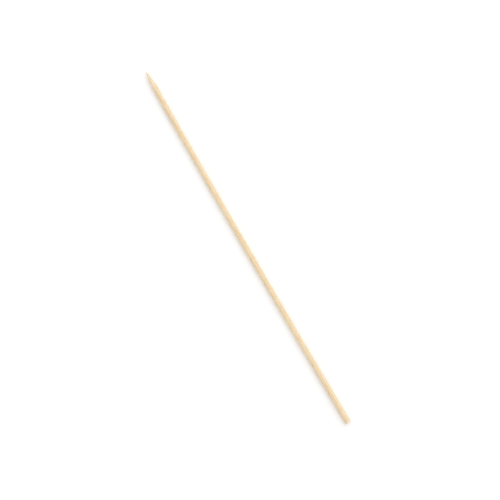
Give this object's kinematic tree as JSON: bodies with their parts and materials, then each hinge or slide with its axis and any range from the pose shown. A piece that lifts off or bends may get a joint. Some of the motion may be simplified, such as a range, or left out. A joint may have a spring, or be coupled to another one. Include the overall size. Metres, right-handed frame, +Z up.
{
  "type": "bamboo skewer",
  "caption": "Thin round bamboo rod, sharpened to a slightly blunt point at one end and sawn square at the other, for grilled and takeaway food.",
  "frame": {"origin": "middle of the sawn face", "axes": "+X along the skewer from the sawn face to the point; +Y sideways, the way the slight bow goes; +Z up"},
  "size_m": [0.2, 0.0034, 0.0028],
  "materials": {
    "bamboo": "satin, planed and tumbled bamboo with fine lengthwise fibre, no varnish"
  },
  "bodies": {
    "root": {"skewer": "bamboo"}
  },
  "joints": []
}
